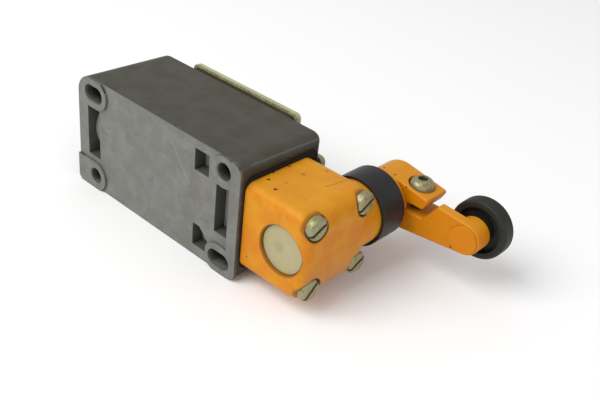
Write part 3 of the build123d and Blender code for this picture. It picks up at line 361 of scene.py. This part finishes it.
# orange lacquer of the head and the lever; marks are place, radius and strength,
# scratches are start, end, width and strength
orangeLook = {
    "deep": tone(200, 120, 2), "pale": tone(214, 152, 40), "primer": tone(66, 44, 22),
    # the grime tone serves a real thin dirt film, and painted shade in corners and round the screws
    "grimeAndShade": tone(84, 56, 22), "bare": tone(126, 128, 92), "low": tone(178, 124, 80),
    "specular": 0.22,
    "endScrewR": 3.5, "footTop": 1.0, "capEdgeEnd": 3.0, "clampSeat": 6.0,
}
headLook = {
    "orange": tone(206, 137, 4),
    "marks": [
        ((39.5, 8.5, headHigh.z), 0.55, 0.95), ((44.3, 6.2, headHigh.z), 0.60, 0.95),
        ((43.6, 18.4, headHigh.z), 0.75, 0.40), ((43.8, 11.0, headHigh.z), 0.45, 0.40),
        ((38.0, 18.4, headHigh.z), 0.50, 0.80), ((37.7, 12.2, headHigh.z), 0.45, 0.80),
        ((52.5, 28.0, headHigh.z - 1.0), 0.5, 0.5),
    ],
    "grey": [
        ((60.2, 1.9, 12.4), 0.9, 0.75), ((61.4, 23.0, 12.2), 0.7, 0.6),
        ((55.5, 21.0, headHigh.z), 0.5, 0.4), ((52.0, headLow.y, 9.6), 0.4, 0.5),
    ],
    "scratches": [((52.0, 18.4, headHigh.z), (53.4, 26.2, headHigh.z - 0.1), 0.16, 0.7)],
}
leverLook = {
    "orange": tone(202, 124, 2),
    "marks": [
        ((49.8, 49.2, 8.4), 0.42, 0.95), ((54.5, 48.6, 8.2), 0.42, 0.95),
        ((78.8, 47.4, -4.4), 0.45, 0.70),
    ],
    "grey": [((70.5, 47.4, 1.5), 0.35, 0.4)],
    "scratches": [((62.0, 47.4, -3.0), (66.0, 47.4, -6.0), 0.12, 0.4)],
}


def fromEndScrew(finish):
    # distance from the axis of the nearest of the four end screws
    screwR = orangeLook["endScrewR"]
    pitchY = (endScrewsHigh.y - endScrewsLow.y) / 2 - screwR
    pitchZ = (endScrewsHigh.z - endScrewsLow.z) / 2 - screwR
    acrossY = abs(finish.y - (endScrewsHigh.y + endScrewsLow.y) / 2) - pitchY
    return finish.radius(acrossY, abs(finish.z) - pitchZ)


def fromShaftAxis(finish):
    return finish.radius(finish.x - shaftAxis.x, finish.z - shaftAxis.z)


def fromClampAxis(finish):
    return finish.radius(finish.x - clampAxis.x, finish.y - clampAxis.y)


def headRingShade(finish):
    # painted shade round the four end screws and round the closing disc
    screwR = orangeLook["endScrewR"]
    screws = finish.ramp(fromEndScrew(finish), screwR + 0.9, screwR + 0.4)
    screws = screws * finish.ramp(finish.x, headHigh.x - 5.0, headHigh.x - 3.5)
    capR = (capHigh.x - capLow.x) / 2
    capEdgeEnd = orangeLook["capEdgeEnd"]
    cap = finish.ramp(fromShaftAxis(finish), capR + 0.7, capR + 0.1)
    return screws.larger(cap * finish.ramp(finish.y, capEdgeEnd, capEdgeEnd - 0.4))


def clampRingShade(finish):
    # painted shade round the head of the clamp screw
    clampR = (clampHigh.x - clampLow.x) / 2
    seat = orangeLook["clampSeat"]
    ring = finish.ramp(fromClampAxis(finish), clampR + 0.8, clampR + 0.1)
    return ring * finish.ramp(finish.z, seat - 1.0, seat)


def orangeFinish(name, piece, rings):
    look = orangeLook
    finish = Finish(name, Specular_IOR_Level=look["specular"])
    mottle = finish.noise(0.14, 5.0, 0.6)
    fine = finish.noise(1.3, 4.0, 0.65)
    colour = finish.blend(finish.ramp(mottle, 0.36, 0.62), piece["orange"], look["deep"])
    # painted light on upward faces, added to real patchy fading
    upwardLight = finish.ramp(finish.facing[2], 0.5, 0.9)
    fadedAndLit = finish.ramp(fine, 0.50, 0.85) * 0.30 + upwardLight * 0.4
    colour = finish.blend(fadedAndLit, colour, look["pale"])
    # thin brown dirt, and painted shade in corners and in rings round the screws and the closing disc
    film = finish.noise(0.33, 5.0, 0.7, 0.4)
    colour = finish.blend(finish.ramp(film, 0.56, 0.75) * 0.20, colour, look["grimeAndShade"])
    creviceShade = finish.ramp(finish.crevice(1.4), 0.22, 0.85)
    colour = finish.blend(creviceShade * 0.65, colour, look["grimeAndShade"])
    colour = finish.blend(rings(finish) * 0.65, colour, look["grimeAndShade"])
    # painted shade with a pale painted reflection of the floor on the lower end face
    endFootShade = finish.ramp(finish.z, look["footTop"], headLow.z) * finish.ramp(finish.facing[0], 0.5, 0.9)
    colour = finish.blend(endFootShade * 0.7, colour, look["low"])
    # random small chips down to primer, then the marks that have their own places
    chips = finish.ramp(finish.cells(0.17), 0.060, 0.038) * finish.ramp(film, 0.44, 0.56)
    colour = finish.blend(chips * 0.85, colour, look["primer"])
    allMarks = chips
    placed = [(finish.spot(at, size) * strength, "primer") for at, size, strength in piece["marks"]]
    placed += [(finish.spot(at, size, 0.9) * strength, "bare") for at, size, strength in piece["grey"]]
    placed += [(finish.line(start, end, width) * strength, "primer")
               for start, end, width, strength in piece["scratches"]]
    for mark, shade in placed:
        colour = finish.blend(mark, colour, look[shade])
        allMarks = allMarks.larger(mark)
    finish.feed("Base Color", colour)
    finish.feed("Roughness", 0.34 + fine * 0.14 + allMarks * 0.25)
    relief = finish.bump(finish.noise(2.4, 2.0), 0.025, 0.5)
    finish.feed("Normal", finish.bump(1 - allMarks, 0.06, 0.7, relief))
    return finish.material


# plated screws and the closing disc
platingLook = {
    "pale": tone(156, 150, 116), "green": tone(126, 127, 70), "rose": tone(144, 127, 90),
    # the dark tone is painted shade, in the screws' crevices and drives and at the disc's edge
    "paintedShade": tone(26, 24, 16), "disc": tone(170, 163, 120), "discPink": tone(175, 163, 132),
    "discSmudge": tone(142, 142, 104), "discSpecular": 0.3,
    "slotReach": 2.7, "socketReach": 2.4,      # how far from a screw's axis its drive goes
    "smudgePlace": (-1.4, 0.2),                # from the middle of the disc
    "discEdge": (7.0, 7.55),                   # where the painted shade at its edge begins and ends
}


def endScrewSlots(finish):
    # 1 below the tops of the end screws, near their axes
    reach = platingLook["slotReach"]
    top = endScrewsHigh.x
    inReach = finish.ramp(fromEndScrew(finish), reach, reach - 0.2)
    return inReach * finish.ramp(finish.x, top - 0.25, top - 0.45)


def clampSocket(finish):
    # 1 inside the socket of the clamp screw
    reach = platingLook["socketReach"]
    top = clampHigh.z
    inReach = finish.ramp(fromClampAxis(finish), reach, reach - 0.2)
    return inReach * finish.ramp(finish.z, top - 0.25, top - 0.5)


def platedFinish(name, drive=None):
    # drive gives 1 inside the slot or the socket
    look = platingLook
    finish = Finish(name)
    hue = finish.noise(0.45, 4.0, 0.6, 0.8)
    fine = finish.noise(3.0, 3.0, 0.6)
    colour = finish.blend(finish.ramp(hue, 0.36, 0.50), look["green"], look["pale"])
    colour = finish.blend(finish.ramp(hue, 0.54, 0.70) * 0.6, colour, look["rose"])
    colour = finish.blend(finish.ramp(fine, 0.56, 0.72) * 0.3, colour, look["rose"])
    # painted shade in the screw's own crevices and inside its slot or socket
    dirtAndShade = finish.ramp(finish.crevice(1.1), 0.25, 0.70)
    if drive:
        dirtAndShade = dirtAndShade.larger(drive(finish) * 0.9)
    colour = finish.blend(dirtAndShade * 0.92, colour, look["paintedShade"])
    finish.feed("Base Color", colour)
    finish.feed("Metallic", 0.62 - dirtAndShade * 0.5)
    finish.feed("Roughness", 0.34 + fine * 0.2 + dirtAndShade * 0.3)
    finish.feed("Normal", finish.bump(fine, 0.02, 0.5))
    return finish.material


def discFinish():
    look = platingLook
    finish = Finish("discPlating", Specular_IOR_Level=look["discSpecular"])
    fine = finish.noise(2.6, 3.0, 0.6)
    cloud = finish.noise(0.22, 4.0, 0.6, 0.5)
    away = fromShaftAxis(finish)
    colour = finish.blend(finish.ramp(cloud, 0.40, 0.65), look["disc"], look["discPink"])
    # a grey smudge left of the middle
    smudgeX = shaftAxis.x + look["smudgePlace"][0]
    smudgeZ = shaftAxis.z + look["smudgePlace"][1]
    fromSmudge = finish.radius(finish.x - smudgeX, finish.z - smudgeZ)
    smudge = finish.ramp(fromSmudge + (cloud - 0.5) * 5.0, 2.6, 0.8)
    colour = finish.blend(smudge * 0.6, colour, look["discSmudge"])
    # painted shade at the disc's edge, beside its recess
    edgeShade = finish.ramp(away, *look["discEdge"]) * finish.ramp(fine, 0.3, 0.6)
    colour = finish.blend(edgeShade * 0.55, colour, look["paintedShade"])
    colour = finish.blend(finish.ramp(fine, 0.66, 0.74) * 0.3, colour, look["discSmudge"])
    finish.feed("Base Color", colour)
    finish.feed("Metallic", 0.25 - smudge * 0.2)
    finish.feed("Roughness", 0.42 + fine * 0.15)
    rings = (away * 9.0).sine() * 0.5 + 0.5
    relief = finish.bump(rings, 0.004, 0.5)
    finish.feed("Normal", finish.bump(cloud, 0.10, 0.5, relief))
    return finish.material


def turnedFinish(name, base, dull, rough=0.3):
    # bright metal with faint tool marks and cloudy tarnish
    finish = Finish(name, Metallic=1.0)
    cloud = finish.noise(0.5, 4.0, 0.6)
    fine = finish.noise(4.0, 2.0, stretch=(1.0, 6.0, 1.0))
    colour = finish.blend(finish.ramp(cloud, 0.40, 0.68), base, dull)
    # painted shade in the piece's own crevices
    dirtAndShade = finish.ramp(finish.crevice(1.0), 0.35, 0.9)
    colour = finish.blend(dirtAndShade * 0.6, colour, tone(30, 28, 24))
    finish.feed("Base Color", colour)
    finish.feed("Roughness", rough + fine * 0.18 + dirtAndShade * 0.2)
    finish.feed("Normal", finish.bump(fine, 0.008, 0.5))
    return finish.material


def mouldedFinish(name, base, dust, rough, grain):
    # moulded plastic or rubber with a fine grain, rubbed lighter here and there
    finish = Finish(name, Specular_IOR_Level=0.3)
    cloud = finish.noise(0.2, 5.0, 0.65)
    fine = finish.noise(grain, 3.0, 0.6)
    colour = finish.blend(finish.ramp(cloud, 0.48, 0.76) * 0.55, base, dust)
    scuffs = finish.noise(0.9, 3.0, 0.6, 0.4, stretch=(2.0, 0.35, 2.0))
    colour = finish.blend(finish.ramp(scuffs, 0.62, 0.72) * 0.35, colour, dust)
    finish.feed("Base Color", colour)
    finish.feed("Roughness", rough + fine * 0.16 + cloud * 0.08)
    finish.feed("Normal", finish.bump(fine, 0.015, 0.5))
    return finish.material


# smooth black collar, finely scored round its rim
collarLook = {
    "black": tone(27, 27, 29), "dull": tone(38, 36, 37), "scored": tone(66, 60, 56), "specular": 0.35,
}


def collarFinish():
    look = collarLook
    finish = Finish("collarBlack", Specular_IOR_Level=look["specular"])
    cloud = finish.noise(0.16, 4.0, 0.6)
    scored = finish.noise(2.2, 2.0, 0.5, 0.1, stretch=(0.25, 5.0, 0.25))
    colour = finish.blend(finish.ramp(cloud, 0.42, 0.72), look["black"], look["dull"])
    colour = finish.blend(finish.ramp(scored, 0.60, 0.75) * 0.25, colour, look["scored"])
    finish.feed("Base Color", colour)
    finish.feed("Roughness", 0.30 + cloud * 0.12 + scored * 0.10)
    finish.feed("Normal", finish.bump(scored, 0.012, 0.5))
    return finish.material


# dull black roller with turning rings and a rubbed rim
rollerLook = {
    "black": tone(30, 30, 27), "dull": tone(37, 36, 33), "rubbed": tone(66, 64, 59),
    "dirtAndShade": tone(14, 13, 12), "specular": 0.28,
    "rim": (7.6, 9.2),              # where the rubbed rim begins and is strongest
}


def rollerFinish():
    look = rollerLook
    finish = Finish("rollerBlack", Specular_IOR_Level=look["specular"])
    cloud = finish.noise(0.22, 4.0, 0.6)
    fine = finish.noise(2.8, 3.0, 0.6)
    away = finish.radius(finish.x - rollerAxis.x, finish.z - rollerAxis.z)
    rings = (away * 12.0).sine() * 0.5 + 0.5
    colour = finish.blend(finish.ramp(cloud, 0.40, 0.70), look["black"], look["dull"])
    rubbed = finish.ramp(away, *look["rim"]) * finish.ramp(fine, 0.35, 0.70)
    colour = finish.blend(rubbed * 0.25, colour, look["rubbed"])
    # painted shade in the roller's own hollows
    dirtAndShade = finish.ramp(finish.crevice(1.6), 0.25, 0.9)
    colour = finish.blend(dirtAndShade * 0.7, colour, look["dirtAndShade"])
    finish.feed("Base Color", colour)
    finish.feed("Roughness", 0.48 + fine * 0.16)
    relief = finish.bump(rings, 0.010, 0.5)
    finish.feed("Normal", finish.bump(fine, 0.02, 0.5, relief))
    return finish.material


# every finish, and the nodes that get it
finishes = {
    "housing": bodyFinish(),
    "cover": coverFinish(),
    "head": orangeFinish("headLacquer", headLook, headRingShade),
    "lever": orangeFinish("leverLacquer", leverLook, clampRingShade),
    "plated": platedFinish("screwPlating"),
    "endScrews": platedFinish("endScrewPlating", endScrewSlots),
    "clamp": platedFinish("clampScrewPlating", clampSocket),
    "disc": discFinish(),
    "collar": collarFinish(),
    "roller": rollerFinish(),
    "rubber": mouldedFinish("gasketRubber", tone(20, 17, 13), tone(40, 33, 22), 0.62, 2.0),
    "coverRubber": mouldedFinish("coverGasketRubber", tone(48, 44, 27), tone(72, 66, 42), 0.60, 2.0),
    "block": mouldedFinish("blockThermoset", tone(66, 58, 50), tone(96, 86, 74), 0.45, 2.4),
    "lid": mouldedFinish("lidPlastic", tone(196, 192, 176), tone(166, 160, 142), 0.40, 2.4),
    "carrier": mouldedFinish("carrierPlastic", tone(214, 210, 196), tone(184, 178, 160), 0.42, 2.4),
    "steel": turnedFinish("groundSteel", tone(190, 190, 186), tone(150, 148, 140), 0.28),
    "spring": turnedFinish("springWire", tone(150, 150, 150), tone(110, 108, 104)),
    "bronze": turnedFinish("bearingBronze", tone(196, 150, 92), tone(150, 108, 62), 0.36),
    "brass": turnedFinish("contactBrass", tone(214, 184, 110), tone(170, 138, 78), 0.26),
    "silver": turnedFinish("silverTip", tone(226, 225, 220), tone(170, 168, 160), 0.24),
}
finishNodes = {
    "housing": ["housing"],
    "cover": ["cover"],
    "head": ["head"],
    "lever": ["lever_arm"],
    "plated": ["cover_screws", "terminal_clamps", "terminal_screws", "block_screws", "earth_screw"],
    "endScrews": ["head_screws"],
    "clamp": ["clamp_screw"],
    "disc": ["rear_cap"],
    "collar": ["dust_collar"],
    "roller": ["roller"],
    "rubber": ["head_gasket", "shaft_seal"],
    "coverRubber": ["cover_gasket"],
    "block": ["contact_block"],
    "lid": ["block_cover"],
    "carrier": ["contact_carrier"],
    "steel": ["cam_sleeve", "shaft", "driver", "driver_pin", "roller_pin", "roller_washer", "tappet"],
    "spring": ["cam_spring", "centring_spring", "bridge_springs", "return_spring"],
    "bronze": ["rear_bearing", "front_bush", "tappet_guide", "roller_bush"],
    "brass": ["break_contact_strips", "make_contact_strips", "earth_clamp", "break_bridge", "make_bridge"],
    "silver": ["fixed_tips", "bridge_tips"],
}
for finishName, pieces in finishNodes.items():
    for piece in pieces:
        for slot in nodes[piece].material_slots:
            slot.material = finishes[finishName]
print("finishes given to", sum(len(pieces) for pieces in finishNodes.values()), "nodes")


# pale floor, sky and soft boxes; each box has a place, a size and a power
studio = {
    "floorHalf": 2.0, "floorTone": (0.95, 0.95, 0.95, 1.0), "floorDim": 0.985,
    "skyStrength": 0.58,
    "boxes": [((-0.30, -0.80, 1.0), 0.9, 13.5), ((0.9, -0.2, 0.5), 0.7, 1.2)],
}


def makeFloor(low):
    bpy.ops.mesh.primitive_plane_add(size=2 * studio["floorHalf"], location=(0, 0, low))
    floor = bpy.context.object
    floor.name = "floor"
    finish = Finish("floorPaper", Roughness=0.8)
    grain = finish.noise(0.8, 2.0)
    shade = studio["floorTone"]
    dim = tuple(studio["floorDim"] * value for value in shade[:3]) + (1.0,)
    finish.feed("Base Color", finish.blend(grain, shade, dim))
    floor.data.materials.append(finish.material)


def makeLights(target):
    world = bpy.data.worlds.new("studioSky")
    world.use_nodes = True
    sky = world.node_tree.nodes["Background"]
    sky.inputs["Color"].default_value = (1.0, 1.0, 1.0, 1.0)
    sky.inputs["Strength"].default_value = studio["skyStrength"]
    bpy.context.scene.world = world
    for number, (place, size, power) in enumerate(studio["boxes"]):
        light = bpy.data.lights.new(f"softBox{number}", "AREA")
        light.size = size
        light.energy = power
        lamp = bpy.data.objects.new(f"softBox{number}", light)
        bpy.context.scene.collection.objects.link(lamp)
        lamp.location = place
        lamp.rotation_euler = (Vector(target) - Vector(place)).to_track_quat("-Z", "Y").to_euler()


# camera, in metres and degrees; it looks at the target
cameraPlace = {
    "target": (0.0341, 0.0299, -0.0038),
    "azimuth": 39.03, "elevation": 32.16, "roll": 7.01, "distance": 0.261,
    "lens": 50.65, "sensor": 36.0, "clipStart": 0.01,
}


def makeCamera():
    turn = Matrix.Rotation(math.radians(cameraPlace["azimuth"]), 4, "Z")
    tilt = Matrix.Rotation(math.radians(90 - cameraPlace["elevation"]), 4, "X")
    roll = Matrix.Rotation(math.radians(cameraPlace["roll"]), 4, "Z")
    turned = turn @ tilt @ roll
    back = turned @ Vector((0, 0, cameraPlace["distance"]))
    data = bpy.data.cameras.new("viewCamera")
    data.lens = cameraPlace["lens"]
    data.sensor_width = cameraPlace["sensor"]
    data.clip_start = cameraPlace["clipStart"]
    camera = bpy.data.objects.new("viewCamera", data)
    bpy.context.scene.collection.objects.link(camera)
    camera.matrix_world = Matrix.Translation(Vector(cameraPlace["target"]) + back) @ turned
    bpy.context.scene.camera = camera


makeFloor(cadBounds[0].z)
makeLights(cameraPlace["target"])
makeCamera()
bpy.context.scene.view_settings.view_transform = "Standard"
print("floor, lights and camera ready")
